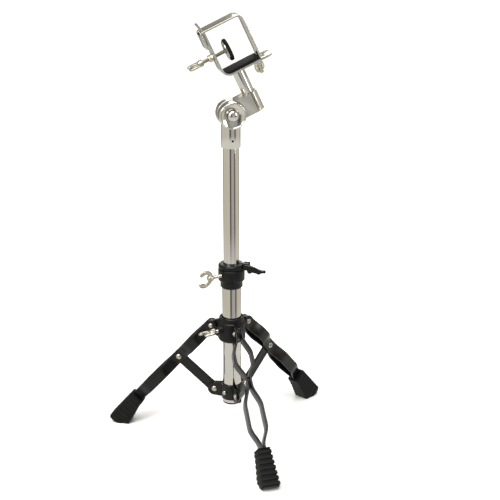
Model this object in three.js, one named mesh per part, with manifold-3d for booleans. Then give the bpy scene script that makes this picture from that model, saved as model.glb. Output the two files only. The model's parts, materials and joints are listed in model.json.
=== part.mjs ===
// Folding tripod stand for a pair of small hand drums: three double-strip legs with flat braces,
// a telescoping column with a memory lock, a disc tilter and a hooked clamp frame on top.
// Millimetres, +Z up. The floor is z = 0 and the feet's bounding box is centred on the origin.
import * as THREE from 'three';
import { mergeVertices } from 'three/addons/utils/BufferGeometryUtils.js';
import Module from 'manifold-3d';

const wasm = await Module();
wasm.setup();

// ---------- driving dimensions ----------
const GAP = 0.3;                        // between pieces that touch or turn on each other
const COLUMN_X = 7.84;                    // column axis, from the middle of the footprint
const COLUMN_Y = 38.92;
const LEG_YAW = 4.9;                    // front leg, degrees to the right of the tilter's axis
const LEG_NAMES = ['front', 'right', 'left'];

// column
const BASE_TUBE_R = 15;
const BASE_TUBE_WALL = 1.2;
const BASE_TUBE_LOW = 57.5;
const BASE_TUBE_HIGH = 285.2;
const UPPER_TUBE_R = 12.5;
const UPPER_TUBE_WALL = 1.5;
const UPPER_TUBE_LOW = 114;
const UPPER_TUBE_HIGH = 500;

// legs, in the upright plane of each leg: r from the column axis, z from the floor
const LEG_PIVOT_R = 33.1;
const LEG_PIVOT_Z = 185.6;
const LEG_SLOPE = 47.6;                 // degrees below level
const BRACE_PIVOT_ALONG_LEG = 80.4;
const BRACKET_PIVOT_R = 28.8;
const BRACKET_PIVOT_Z = 75.3;
const STRIP_WIDTH = 19;
const STRIP_THICK = 3;
const STRIP_END = 221;                  // end of the strips, along the leg from its pivot
const RIVET_R = 2.5;
const RIVET_HEAD_R = 4.6;
const RIVET_HEAD_THICK = 2.3;
const LUG_THICK = 6;
const BRACE_WIDTH = 17;
const BRACE_THICK = 3;
const BRACE_SLOT_R = 5.5;               // open pivot: room for the rivet while the leg folds
// half gap between a leg's two strips, along the leg
const BOW = [
  { from: -11, to: 9.5, gap: LUG_THICK / 2 + GAP },
  { from: 29, to: 55, gap: 12.4 },
  { from: 68.5, to: 93.5, gap: BRACE_THICK / 2 + GAP },
  { from: 112, to: 161, gap: 11 },
  { from: 178, to: STRIP_END, gap: 1.25 },
];

// rubber feet: side outline in the leg's own plane, along the leg and square to it
const FOOT_TOP_S = 180.5;
const FOOT_HEEL_S = 231.7;
const FOOT_TOE_S = 245.6;
const FOOT_TOE_HIGH = [247.2, 9.2];
const FOOT_HALF_TOP = 12.4;
const FOOT_WIDTH = 29;

// collar, lower bracket and height clamp
const COLLAR_LOW = 163.8;
const COLLAR_HIGH = 203.4;
const COLLAR_R = 21.8;
const COLLAR_RIM_R = 19.8;
const COLLAR_RIM_Z = 195.8;
const BUSH_R = 17.1;
const WING_AZIMUTH = -66.5;               // of the height and collar wing screws, degrees
const COLLAR_WING_Z = 183.5;
const BRACKET_HALF_HEIGHT = 12;
const BRACKET_SHEET = 2;
const EAR_TIP_R = 11;
const CLAMP_LOW = 252.2;
const CLAMP_STEP = 264;
const CLAMP_HIGH = 283.2;
const CLAMP_LOW_R = 17.6;
const CLAMP_R = 20.9;
const HEIGHT_WING_Z = 274.7;
const LOCK_AZIMUTH = 68.5;
const LOCK_LOW = 283.8;
const LOCK_HIGH = 291.8;
const LOCK_R = 20.6;

// tilter and head, in the tilted head's own frame: u across, w along the post, y along the axle
const HUB_Z = 528.3;
const HUB_R = 20.6;
const HUB_FRONT_Y = -19.5;
const HUB_SPLIT_Y = -1.6;
const HUB_BACK_Y = 15.5;
const HEAD_TILT = 25;                   // degrees, leaning to -X
const SOCKET_R = 14.9;
const SOCKET_LOW = 477;
const TILTER_BOLT_R = 4;
const POST_U = 37.7;
const POST_Y = 1;
const POST_R = 9.5;
const SLEEVE_R = 12.4;
const SLEEVE_LOW = -13.8;
const SLEEVE_HIGH = 17.2;
const CLAMP_DEPTH = 33;
const SHEET = 3;                        // clamp frame's strip
const PLATE_W = 54.8;                   // underside of the clamp's bottom plate
const PLATE_END_U = 93;
const SIDE_U = 12.9;                    // outer face of the side plate
const SIDE_TOP_W = 132.4;
const GATE_BAR_W = 128.9;                 // underside of the gate's top bar
const GATE_SIDE_U = 73.4;               // inner face of the gate's side bar
const PAD_THICK = 4.4;
const STUD_U = 69.5;
const SCREW_R = 3;                      // M6 everywhere
const PRESS_W = 88.4;                     // height of the pressure screw in the window
const PRESS_PLATE_U = 31.6;
const PRESS_R = 17.2;

const rad = THREE.MathUtils.degToRad;

// ---------- finishes ----------
const finish = (color, roughness, metalness) => ({ color, roughness, metalness });
const CHROME = finish(0xcfccc6, 0.14, 1);
const NICKEL = finish(0xc2bcae, 0.28, 1);
const BLACK_STEEL = finish(0x17181a, 0.38, 0.1);
const BLACK_CAST = finish(0x141516, 0.45, 0.1);
const BLACK_RUBBER = finish(0x131415, 0.85, 0);
const BLACK_PLASTIC = finish(0x1a1b1d, 0.5, 0);
const GREY_PLASTIC = finish(0x6c6d6f, 0.5, 0);

// ---------- solids ----------
// A closed geometry as a solid that can be joined and cut.
function solid(geometry) {
  const bare = geometry.clone();
  bare.deleteAttribute('normal');
  bare.deleteAttribute('uv');
  const merged = mergeVertices(bare, 1e-4);
  const corners = [];
  for (let i = 0; i < merged.index.count; i += 3) {
    const [a, b, c] = [0, 1, 2].map((k) => merged.index.getX(i + k));
    if (a !== b && b !== c && c !== a) corners.push(a, b, c);
  }
  return new wasm.Manifold(new wasm.Mesh({
    numProp: 3,
    vertProperties: new Float32Array(merged.attributes.position.array),
    triVerts: new Uint32Array(corners),
  }));
}

function geometryOf(body) {
  const mesh = body.getMesh();
  const geometry = new THREE.BufferGeometry();
  geometry.setAttribute('position', new THREE.BufferAttribute(new Float32Array(mesh.vertProperties), 3));
  geometry.setIndex(new THREE.BufferAttribute(new Uint32Array(mesh.triVerts), 1));
  geometry.computeVertexNormals();
  return geometry;
}

// A ring or turned piece about Z; the outline is [r, z] points that close on themselves or on the axis.
function turned(outline, segments = 32) {
  const points = outline.map(([r, z]) => new THREE.Vector2(r, z));
  const onAxis = outline[0][0] === 0 && outline[outline.length - 1][0] === 0;
  if (!onAxis) points.push(points[0].clone());
  let area = 0;
  for (let i = 0; i < points.length; i += 1) {
    const a = points[i];
    const b = points[(i + 1) % points.length];
    area += a.x * b.y - b.x * a.y;
  }
  if (area < 0) points.reverse();
  return new THREE.LatheGeometry(points, segments).rotateX(Math.PI / 2);
}

const ring = (inner, outer, low, high, segments) =>
  turned([[inner, low], [outer, low], [outer, high], [inner, high]], segments);

const rod = (radius, low, high, segments = 20) =>
  turned([[0, low], [radius, low], [radius, high], [0, high]], segments);

// A flat plate in the XY plane from z = low to high.
function plate(points, low, high) {
  const shape = new THREE.Shape(points.map(([x, y]) => new THREE.Vector2(x, y)));
  const geometry = new THREE.ExtrudeGeometry(shape, { depth: high - low, bevelEnabled: false });
  return geometry.translate(0, 0, low);
}

// The same plate stood up: its outline is read as [x, z] and its thickness runs along y.
function uprightPlate(points, yLow, yHigh) {
  return plate(points, -yHigh, -yLow).rotateX(Math.PI / 2);
}

function box(xLow, xHigh, yLow, yHigh, zLow, zHigh) {
  return new THREE.BoxGeometry(xHigh - xLow, yHigh - yLow, zHigh - zLow)
    .translate((xLow + xHigh) / 2, (yLow + yHigh) / 2, (zLow + zHigh) / 2);
}

// Turns a piece made about Z to lie along +Y or +X.
const alongY = (geometry) => geometry.rotateX(-Math.PI / 2);
const alongX = (geometry) => geometry.rotateY(Math.PI / 2);

// Points on an arc about (cx, cy), in degrees.
function arc(cx, cy, radius, from, to, steps) {
  const points = [];
  for (let i = 0; i <= steps; i += 1) {
    const angle = rad(from + ((to - from) * i) / steps);
    points.push([cx + radius * Math.cos(angle), cy + radius * Math.sin(angle)]);
  }
  return points;
}

function join(first, ...rest) {
  return rest.reduce((sum, geometry) => sum.add(solid(geometry)), solid(first));
}

function cut(body, ...tools) {
  return tools.reduce((left, geometry) => left.subtract(solid(geometry)), body);
}

// ---------- the scene graph ----------
const stand = new THREE.Group();
stand.position.set(COLUMN_X, COLUMN_Y, 0);
const model = new THREE.Group();
model.add(stand);

function addPiece(group, name, shape, look) {
  const geometry = shape.getMesh ? geometryOf(shape) : shape;
  const mesh = new THREE.Mesh(geometry, new THREE.MeshStandardMaterial(look));
  mesh.name = name;
  group.add(mesh);
  return mesh;
}

// A group whose +X points away from the column at an azimuth counted from -Y towards +X.
function radialGroup(azimuth) {
  const group = new THREE.Group();
  group.rotation.z = rad(azimuth - 90);
  stand.add(group);
  return group;
}

const legAzimuths = [LEG_YAW, LEG_YAW + 120, LEG_YAW - 120];
const legPlanes = legAzimuths.map(radialGroup);

// ---------- base tube ----------
addPiece(stand, 'base_tube', ring(BASE_TUBE_R - BASE_TUBE_WALL, BASE_TUBE_R,
  BASE_TUBE_LOW, BASE_TUBE_HIGH, 40), CHROME);

const plugSpigotR = BASE_TUBE_R - BASE_TUBE_WALL - GAP;
addPiece(stand, 'tube_end_plug', turned([
  [0, BASE_TUBE_LOW - 3], [BASE_TUBE_R - 1, BASE_TUBE_LOW - 3], [BASE_TUBE_R, BASE_TUBE_LOW - 2],
  [BASE_TUBE_R, BASE_TUBE_LOW - GAP], [plugSpigotR, BASE_TUBE_LOW - GAP],
  [plugSpigotR, BASE_TUBE_LOW + 9], [0, BASE_TUBE_LOW + 9]], 28), BLACK_RUBBER);

// ---------- lower bracket: three pressed plates whose turned-out ends pair up as ears ----------
const EAR_GAP = BRACE_THICK / 2 + GAP;
const bracketWallIn = BASE_TUBE_R + GAP;
const bracketWallOut = bracketWallIn + BRACKET_SHEET;
const bracketLow = BRACKET_PIVOT_Z - BRACKET_HALF_HEIGHT;
const bracketHigh = BRACKET_PIVOT_Z + BRACKET_HALF_HEIGHT;

function bracketEar(side) {
  const outline = [
    [bracketWallIn + 0.4, bracketLow],
    ...arc(BRACKET_PIVOT_R, BRACKET_PIVOT_Z, EAR_TIP_R, -90, 90, 12),
    [bracketWallIn + 0.4, bracketHigh],
  ];
  const inner = side * EAR_GAP;
  const outer = side * (EAR_GAP + BRACKET_SHEET);
  return uprightPlate(outline, Math.min(inner, outer), Math.max(inner, outer));
}

function bracketPlate(azimuth) {
  const startAngle = THREE.MathUtils.radToDeg(Math.asin(EAR_GAP / bracketWallIn)) + 0.6;
  const wall = plate([
    ...arc(0, 0, bracketWallOut, startAngle, 120 - startAngle, 14),
    ...arc(0, 0, bracketWallIn, 120 - startAngle, startAngle, 14),
  ], bracketLow, bracketHigh);
  const screwHole = alongX(rod(SCREW_R, bracketWallIn - 3, bracketWallOut + 3))
    .translate(0, 0, BRACKET_PIVOT_Z).rotateZ(rad(60));
  const pivotHole = alongY(rod(RIVET_R + GAP, -8, 8, 16)).translate(BRACKET_PIVOT_R, 0, BRACKET_PIVOT_Z);
  const body = join(wall, bracketEar(1), bracketEar(-1).rotateZ(rad(120)));
  return geometryOf(cut(body, screwHole, pivotHole, pivotHole.clone().rotateZ(rad(120))))
    .rotateZ(rad(azimuth - 90));
}

// A headed rivet across a leg's plane; the shank is as long as what it holds.
function crossRivet(halfGrip, headR = RIVET_HEAD_R, shankR = RIVET_R) {
  const face = halfGrip + GAP;
  const crown = [[headR, face], [headR * 0.92, face + RIVET_HEAD_THICK * 0.55],
    [headR * 0.6, face + RIVET_HEAD_THICK * 0.9], [0, face + RIVET_HEAD_THICK]];
  const upper = [[shankR, face], ...crown];
  const lower = upper.map(([r, z]) => [r, -z]).reverse();
  return alongY(turned([...lower, ...upper], 20));
}

const screwHead = turned([[0, bracketWallIn + GAP], [SCREW_R - GAP, bracketWallIn + GAP],
  [SCREW_R - GAP, bracketWallOut + GAP], [3.6, bracketWallOut + GAP], [3.6, bracketWallOut + 1.6],
  [2.6, bracketWallOut + 2.5], [0, bracketWallOut + 2.7]], 18);

legAzimuths.forEach((azimuth, i) => {
  addPiece(stand, `bracket_plate_${i + 1}`, bracketPlate(azimuth), BLACK_STEEL);
  addPiece(stand, `bracket_screw_${i + 1}`, alongX(screwHead.clone())
    .translate(0, 0, BRACKET_PIVOT_Z).rotateZ(rad(azimuth - 30)), NICKEL);
  addPiece(legPlanes[i], `${LEG_NAMES[i]}_bracket_rivet`,
    crossRivet(EAR_GAP + BRACKET_SHEET).translate(BRACKET_PIVOT_R, 0, BRACKET_PIVOT_Z), NICKEL);
});

// ---------- height clamp on top of the base tube ----------
const clampShell = turned([
  [BASE_TUBE_R + GAP, CLAMP_LOW], [CLAMP_LOW_R - 2, CLAMP_LOW], [CLAMP_LOW_R, CLAMP_LOW + 2],
  [CLAMP_LOW_R, CLAMP_STEP - 1], [CLAMP_R - 1, CLAMP_STEP + 0.6], [CLAMP_R, CLAMP_STEP + 2],
  [CLAMP_R, CLAMP_HIGH - 1], [CLAMP_R - 1, CLAMP_HIGH], [BASE_TUBE_R + GAP, CLAMP_HIGH]], 40);
const clampScrewHole = alongX(rod(SCREW_R + GAP, BASE_TUBE_R, CLAMP_R + 6))
  .translate(0, 0, HEIGHT_WING_Z).rotateZ(rad(WING_AZIMUTH - 90));
addPiece(stand, 'height_clamp_body', cut(solid(clampShell), clampScrewHole), BLACK_CAST);

addPiece(stand, 'height_clamp_bush', turned([
  [UPPER_TUBE_R + 0.25, BASE_TUBE_HIGH - 18], [BASE_TUBE_R - BASE_TUBE_WALL - GAP, BASE_TUBE_HIGH - 18],
  [BASE_TUBE_R - BASE_TUBE_WALL - GAP, BASE_TUBE_HIGH + GAP], [BASE_TUBE_R + 0.6, BASE_TUBE_HIGH + GAP],
  [BASE_TUBE_R + 0.6, BASE_TUBE_HIGH + 2.6], [UPPER_TUBE_R + 0.25, BASE_TUBE_HIGH + 2.6]], 36), BLACK_PLASTIC);

// ---------- wing screws and nuts ----------
const WING_SPAN = 15;                   // from the screw's axis to a wing's tip
const WING_REACH = 25;
const WING_THICK = 3;
const WING_HUB_R = 5.2;

// One wing as an outline in the plane of the screw, [along, out].
const wingOutline = [[0, 0], [0, 5.2], [3, 7.5], [7, 11.5], [12, 14.2], [17, WING_SPAN], [21.5, 14.2],
  [24.4, 11.5], [WING_REACH, 8.4], [23.6, 5.4], [20, 4], [15.5, 4.2], [11, 3.2], [9, 0]];

// Hub and two wings about +Z; the wings reach away from z = 0.
function wingHead(scale = 1, hubLength = 9) {
  const wing = plate(wingOutline.map(([along, out]) => [out * scale, along * scale]),
    -WING_THICK / 2, WING_THICK / 2).rotateX(Math.PI / 2);
  const other = wing.clone().rotateZ(Math.PI);
  const hub = turned([[0, 0], [WING_HUB_R, 0], [WING_HUB_R, hubLength - 3],
    [WING_HUB_R * 0.7, hubLength], [0, hubLength]], 20);
  return { hub, wing, other };
}

// A wing screw along +Z with its tip at z = tip and the hub's face at z = face.
function wingScrew(tip, face) {
  const { hub, wing, other } = wingHead();
  const shank = turned([[0, tip], [SCREW_R - 0.8, tip], [SCREW_R, tip + 0.8], [SCREW_R, face + 2], [0, face + 2]], 18);
  return join(shank, hub.translate(0, 0, face), wing.translate(0, 0, face), other.translate(0, 0, face));
}

// A wing nut about +Z with its seat at z = 0; the wings reach towards +Z.
function wingNut(bore, scale, length = 9) {
  const { hub, wing, other } = wingHead(scale, length);
  return cut(join(hub, wing, other), rod(bore, -2, WING_REACH + 4, 18));
}

// roll turns the wings about the screw: upright at 0 and level at 90.
function standScrew(group, name, tip, face, height, roll) {
  const geometry = alongX(geometryOf(wingScrew(tip, face)).rotateZ(rad(roll))).translate(0, 0, height);
  addPiece(group, name, geometry, NICKEL);
}

const wingPlane = radialGroup(WING_AZIMUTH);
standScrew(wingPlane, 'height_wing_screw', BASE_TUBE_R + GAP, 36, HEIGHT_WING_Z, 8);

// ---------- leg collar ----------
addPiece(stand, 'leg_collar_bush', ring(BASE_TUBE_R + GAP, BUSH_R, COLLAR_LOW + 1.5, COLLAR_HIGH - 1.5, 32),
  BLACK_PLASTIC);

function collarLug() {
  return uprightPlate([
    [COLLAR_RIM_R - 2, COLLAR_LOW + 2], [COLLAR_RIM_R + 2, COLLAR_LOW + 2.5], [29.5, 171.5],
    ...arc(LEG_PIVOT_R, LEG_PIVOT_Z, STRIP_WIDTH / 2 - 0.6, -72, 112, 10),
    [COLLAR_RIM_R + 1, COLLAR_RIM_Z + 1], [COLLAR_RIM_R - 2, COLLAR_RIM_Z + 1]],
  -LUG_THICK / 2, LUG_THICK / 2);
}

const collarShell = turned([
  [BUSH_R - 4, COLLAR_LOW], [COLLAR_R - 2, COLLAR_LOW], [COLLAR_R, COLLAR_LOW + 3],
  [COLLAR_R, COLLAR_RIM_Z - 1.5], [COLLAR_RIM_R, COLLAR_RIM_Z], [COLLAR_RIM_R, COLLAR_HIGH - 1],
  [COLLAR_RIM_R - 1, COLLAR_HIGH], [BUSH_R - 4, COLLAR_HIGH]], 36);
const collarBoss = alongX(turned([[0, COLLAR_R - 4], [8, COLLAR_R - 4], [6.5, COLLAR_R + 6], [0, COLLAR_R + 6]], 20))
  .translate(0, 0, COLLAR_WING_Z).rotateZ(rad(WING_AZIMUTH - 90));
const collarScrewHole = alongX(rod(SCREW_R + GAP, BASE_TUBE_R, COLLAR_R + 12))
  .translate(0, 0, COLLAR_WING_Z).rotateZ(rad(WING_AZIMUTH - 90));
const collarBore = rod(BUSH_R + GAP, COLLAR_LOW - 5, COLLAR_HIGH + 5, 36);
const pivotBore = alongY(rod(RIVET_R + GAP, -8, 8, 16)).translate(LEG_PIVOT_R, 0, LEG_PIVOT_Z);
const lugs = legAzimuths.map((azimuth) => collarLug().rotateZ(rad(azimuth - 90)));
const lugBores = legAzimuths.map((azimuth) => pivotBore.clone().rotateZ(rad(azimuth - 90)));
addPiece(stand, 'leg_collar_body',
  cut(join(collarShell, collarBoss, ...lugs), collarBore, collarScrewHole, ...lugBores), BLACK_CAST);
standScrew(wingPlane, 'leg_collar_wing_screw', BUSH_R + 2 * GAP, 33, COLLAR_WING_Z, 78);

// ---------- legs ----------
// The inner face of a strip along the leg: level pinches and bows with eased steps between.
function bowFace() {
  const points = [];
  BOW.forEach((stretch, i) => {
    points.push([Math.max(stretch.from, -STRIP_WIDTH / 2 - 1), stretch.gap], [stretch.to, stretch.gap]);
    const next = BOW[i + 1];
    if (!next) return;
    for (const t of [0.2, 0.8]) {
      const eased = t * t * (3 - 2 * t);
      points.push([stretch.to + (next.from - stretch.to) * t, stretch.gap + (next.gap - stretch.gap) * eased]);
    }
  });
  return points;
}

const inner = bowFace();
const outer = inner.map(([s, gap]) => [s, gap + STRIP_THICK]).reverse();

function legStrip(side) {
  const wide = STRIP_WIDTH / 2;
  const band = plate([...inner, ...outer], -wide, wide);
  const outline = uprightPlate([[STRIP_END, wide], ...arc(0, 0, wide, 90, 270, 12), [STRIP_END, -wide]], -1, 18);
  const body = solid(band).intersect(solid(outline));
  const pinHole = alongY(rod(RIVET_R + GAP, -2, 20, 16));
  const drilled = cut(body, pinHole, pinHole.clone().translate(BRACE_PIVOT_ALONG_LEG, 0, 0));
  const geometry = geometryOf(drilled);
  return side > 0 ? geometry : geometry.rotateX(Math.PI);
}

// A point of the leg's own plane that lies on the floor, at a distance along the leg.
const onFloor = (s) => [s, (s * Math.sin(rad(LEG_SLOPE)) - LEG_PIVOT_Z) / Math.cos(rad(LEG_SLOPE))];

// Rubber foot: the strips' pinched ends sit in one pocket, and the sole lies flat on the floor.
function footBlock() {
  const half = FOOT_WIDTH / 2;
  const side = uprightPlate([
    [FOOT_TOP_S, -FOOT_HALF_TOP + 1], [FOOT_TOP_S + 2, -FOOT_HALF_TOP], onFloor(FOOT_HEEL_S), onFloor(FOOT_TOE_S),
    FOOT_TOE_HIGH,
    [FOOT_TOE_HIGH[0] - 2.5, FOOT_HALF_TOP], [FOOT_TOP_S + 2, FOOT_HALF_TOP], [FOOT_TOP_S, FOOT_HALF_TOP - 1]],
  -half, half);
  const plan = plate([
    [FOOT_TOP_S - 1, -half + 4], [FOOT_TOP_S + 6, -half + 1], [FOOT_HEEL_S, -half], [FOOT_TOE_HIGH[0] + 1, -half + 1],
    [FOOT_TOE_HIGH[0] + 1, half - 1], [FOOT_HEEL_S, half], [FOOT_TOP_S + 6, half - 1], [FOOT_TOP_S - 1, half - 4]],
  -60, 60);
  const pocketHalf = BOW[BOW.length - 1].gap + STRIP_THICK + GAP;
  const pocket = box(FOOT_TOP_S - 5, STRIP_END + GAP, -pocketHalf, pocketHalf,
    -STRIP_WIDTH / 2 - GAP, STRIP_WIDTH / 2 + GAP);
  return cut(solid(side).intersect(solid(plan)), pocket);
}

const braceVector = new THREE.Vector2(
  LEG_PIVOT_R + BRACE_PIVOT_ALONG_LEG * Math.cos(rad(LEG_SLOPE)) - BRACKET_PIVOT_R,
  LEG_PIVOT_Z - BRACE_PIVOT_ALONG_LEG * Math.sin(rad(LEG_SLOPE)) - BRACKET_PIVOT_Z,
);
const braceLength = braceVector.length();

function braceStrip() {
  const wide = BRACE_WIDTH / 2;
  const outline = [...arc(0, 0, wide, 90, 270, 12), ...arc(braceLength, 0, wide, -90, 90, 12)];
  return cut(solid(uprightPlate(outline, -BRACE_THICK / 2, BRACE_THICK / 2)),
    alongY(rod(RIVET_R + GAP, -4, 4, 16)),
    alongY(rod(BRACE_SLOT_R, -4, 4, 24)).translate(braceLength, 0, 0));
}

LEG_NAMES.forEach((name, i) => {
  const leg = new THREE.Group();
  leg.position.set(LEG_PIVOT_R, 0, LEG_PIVOT_Z);
  leg.rotation.y = rad(LEG_SLOPE);
  legPlanes[i].add(leg);
  addPiece(leg, `${name}_collar_rivet`, crossRivet(BOW[0].gap + STRIP_THICK, 4), NICKEL);
  addPiece(leg, `${name}_leg_strip_a`, legStrip(1), BLACK_STEEL);
  addPiece(leg, `${name}_leg_strip_b`, legStrip(-1), BLACK_STEEL);
  addPiece(leg, `${name}_brace_rivet`,
    crossRivet(BOW[2].gap + STRIP_THICK).translate(BRACE_PIVOT_ALONG_LEG, 0, 0), NICKEL);
  addPiece(leg, `${name}_foot`, footBlock(), BLACK_RUBBER);

  const brace = new THREE.Group();
  brace.position.set(BRACKET_PIVOT_R, 0, BRACKET_PIVOT_Z);
  brace.rotation.y = -braceVector.angle();
  legPlanes[i].add(brace);
  addPiece(brace, `${name}_brace`, braceStrip(), BLACK_STEEL);
});

// ---------- telescoping column ----------
const guideR = BASE_TUBE_R - BASE_TUBE_WALL - GAP;
addPiece(stand, 'upper_tube_guide', turned([
  [UPPER_TUBE_R - 3, UPPER_TUBE_LOW - 3], [guideR, UPPER_TUBE_LOW - 3], [guideR, UPPER_TUBE_LOW + 16],
  [UPPER_TUBE_R + GAP, UPPER_TUBE_LOW + 16], [UPPER_TUBE_R + GAP, UPPER_TUBE_LOW - GAP],
  [UPPER_TUBE_R - 3, UPPER_TUBE_LOW - GAP]], 32), GREY_PLASTIC);
addPiece(stand, 'upper_tube', ring(UPPER_TUBE_R - UPPER_TUBE_WALL, UPPER_TUBE_R,
  UPPER_TUBE_LOW, UPPER_TUBE_HIGH, 40), CHROME);

// memory lock: a split ring on the upper tube, drawn shut across its ears by a black lever screw
const lockPlane = radialGroup(LOCK_AZIMUTH);
const LOCK_SLIT = 1.5;
const EAR_OUT_R = 29;
const EAR_HALF = 6;
const LEVER_R = 24.5;
const LEVER_Z = 288.3;
const lockRing = turned([
  [UPPER_TUBE_R + GAP, LOCK_LOW + 4.2], [BASE_TUBE_R + 1.4, LOCK_LOW + 4.2], [BASE_TUBE_R + 1.4, LOCK_LOW],
  [LOCK_R - 0.8, LOCK_LOW], [LOCK_R, LOCK_LOW + 0.8], [LOCK_R, LOCK_HIGH - 2.4], [LOCK_R - 2.2, LOCK_HIGH],
  [UPPER_TUBE_R + GAP, LOCK_HIGH]], 40);
const lockEars = uprightPlate([[LOCK_R - 3, LOCK_LOW + 0.2], [EAR_OUT_R - 1.5, LOCK_LOW + 0.2],
  [EAR_OUT_R, LOCK_LOW + 1.6], [EAR_OUT_R, LOCK_HIGH + 0.4], [EAR_OUT_R - 1.5, LOCK_HIGH + 1.6],
  [LOCK_R - 1, LOCK_HIGH + 1.6], [LOCK_R - 3, LOCK_HIGH - 1]], -EAR_HALF, EAR_HALF);
const LOCK_PIN_R = 1.8;
addPiece(lockPlane, 'memory_lock_ring', cut(join(lockRing, lockEars),
  box(0, EAR_OUT_R + 2, -LOCK_SLIT, LOCK_SLIT, LOCK_LOW - 2, LOCK_HIGH + 4),
  alongY(rod(LOCK_PIN_R + GAP, -EAR_HALF - 2, EAR_HALF + 2, 16)).translate(LEVER_R, 0, LEVER_Z)), BLACK_PLASTIC);

const leverHub = alongY(rod(4.2, -EAR_HALF - GAP - 5, -EAR_HALF - GAP, 20)).translate(LEVER_R, 0, LEVER_Z);
const leverPin = alongY(rod(LOCK_PIN_R, -EAR_HALF - 2, EAR_HALF + 4, 16)).translate(LEVER_R, 0, LEVER_Z);
const leverNut = alongY(rod(3.4, EAR_HALF + GAP, EAR_HALF + GAP + 3, 6)).translate(LEVER_R, 0, LEVER_Z);
const leverArm = uprightPlate([
  [LEVER_R - 1.5, LEVER_Z + 4], [LEVER_R + 6, LEVER_Z + 3.4], [LEVER_R + 14, LEVER_Z + 0.4],
  [LEVER_R + 20, LEVER_Z - 2.4], [LEVER_R + 24.5, LEVER_Z - 3.6], [LEVER_R + 27, LEVER_Z - 3.8],
  [LEVER_R + 27, LEVER_Z - 7.2], [LEVER_R + 24, LEVER_Z - 7.8], [LEVER_R + 22, LEVER_Z - 9.4],
  [LEVER_R + 19, LEVER_Z - 10], [LEVER_R + 16.5, LEVER_Z - 8.4], [LEVER_R + 10, LEVER_Z - 7],
  [LEVER_R + 8, LEVER_Z - 8.6], [LEVER_R + 4.5, LEVER_Z - 9], [LEVER_R + 2.4, LEVER_Z - 7.4], [LEVER_R + 1.5, LEVER_Z - 3.6]],
-EAR_HALF - GAP - 5, -EAR_HALF - GAP);
const leverBall = new THREE.SphereGeometry(2.8, 16, 10)
  .translate(LEVER_R + 28.4, -EAR_HALF - GAP - 2.5, LEVER_Z - 5.5);
addPiece(lockPlane, 'memory_lock_lever', join(leverHub, leverPin, leverNut, leverArm, leverBall), BLACK_PLASTIC);

// ---------- tilter ----------
const hubDisc = (low, high, bevel) => alongY(turned([
  [0, low], [HUB_R - bevel, low], [HUB_R, low + bevel], [HUB_R, high - 0.6], [HUB_R - 0.6, high], [0, high]], 44));
const hubBore = alongY(rod(TILTER_BOLT_R + GAP, HUB_FRONT_Y - 5, HUB_BACK_Y + 5, 20));
const socketNeck = rod(SOCKET_R, SOCKET_LOW, HUB_Z - HUB_R - GAP, 40);
const socketChamfer = turned([[SOCKET_R - 1.4, SOCKET_LOW - 1], [SOCKET_R + 2, SOCKET_LOW - 1],
  [SOCKET_R + 2, SOCKET_LOW + 2.4]], 40);
const socketFront = rod(SOCKET_R, HUB_Z - HUB_R - 4, HUB_Z - 8, 40);
const neckCut = box(-30, 30, HUB_SPLIT_Y, 30, HUB_Z - HUB_R - GAP, HUB_Z + 5);
const frontDisc = hubDisc(HUB_FRONT_Y, HUB_SPLIT_Y, 1.6).translate(0, 0, HUB_Z);
const faceRecess = alongY(ring(9.6, 17.8, HUB_FRONT_Y - 1, HUB_FRONT_Y + 1.2, 40)).translate(0, 0, HUB_Z);
const boltSeat = alongY(rod(9.8, HUB_FRONT_Y - 1, HUB_FRONT_Y + 2.6, 32)).translate(0, 0, HUB_Z);
const tubeBore = rod(UPPER_TUBE_R + GAP, SOCKET_LOW - 5, UPPER_TUBE_HIGH + GAP, 40);
const pinHole = alongY(rod(1.8, -SOCKET_R - 3, -UPPER_TUBE_R - GAP - 0.1, 14)).translate(0, 0, SOCKET_LOW + 12.4);
const socketBody = cut(join(socketNeck, socketFront), neckCut).add(solid(frontDisc));
addPiece(stand, 'tilter_socket', cut(socketBody, tubeBore, socketChamfer, faceRecess, boltSeat, pinHole,
  hubBore.clone().translate(0, 0, HUB_Z)), CHROME);
addPiece(stand, 'socket_pin', alongY(rod(1.4, -SOCKET_R + 0.8, -UPPER_TUBE_R - 2 * GAP, 12))
  .translate(0, 0, SOCKET_LOW + 12.4), BLACK_STEEL);

// the head: everything that tilts about the hub's axle
const head = new THREE.Group();
head.position.set(0, 0, HUB_Z);
head.rotation.y = -rad(HEAD_TILT);
stand.add(head);

addPiece(head, 'tilter_friction_washer', alongY(ring(TILTER_BOLT_R + GAP, HUB_R - 1.5,
  HUB_SPLIT_Y + GAP, -GAP, 40)), GREY_PLASTIC);

const armDisc = hubDisc(0, HUB_BACK_Y, 0.6);
const armBlock = box(14, POST_U, 0, HUB_BACK_Y - 2, SLEEVE_LOW, SLEEVE_HIGH);
const armFront = cut(solid(box(12, POST_U, -11.5, 1, SLEEVE_LOW, SLEEVE_HIGH)),
  alongY(rod(HUB_R + 2 * GAP, -20, 0, 44)));
const sleeve = rod(SLEEVE_R, SLEEVE_LOW, SLEEVE_HIGH, 36).translate(POST_U, POST_Y, 0);
const sleeveBore = rod(POST_R + GAP, SLEEVE_LOW + 2, SLEEVE_HIGH + 5, 36).translate(POST_U, POST_Y, 0);
const sleeveSlot = box(POST_U + 0.6, POST_U + 4.8, -SLEEVE_R - 3, POST_Y, SLEEVE_LOW + 3, SLEEVE_HIGH + 5);
addPiece(head, 'tilter_arm', cut(join(armDisc, armBlock, sleeve).add(armFront), sleeveBore, sleeveSlot, hubBore),
  CHROME);

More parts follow.
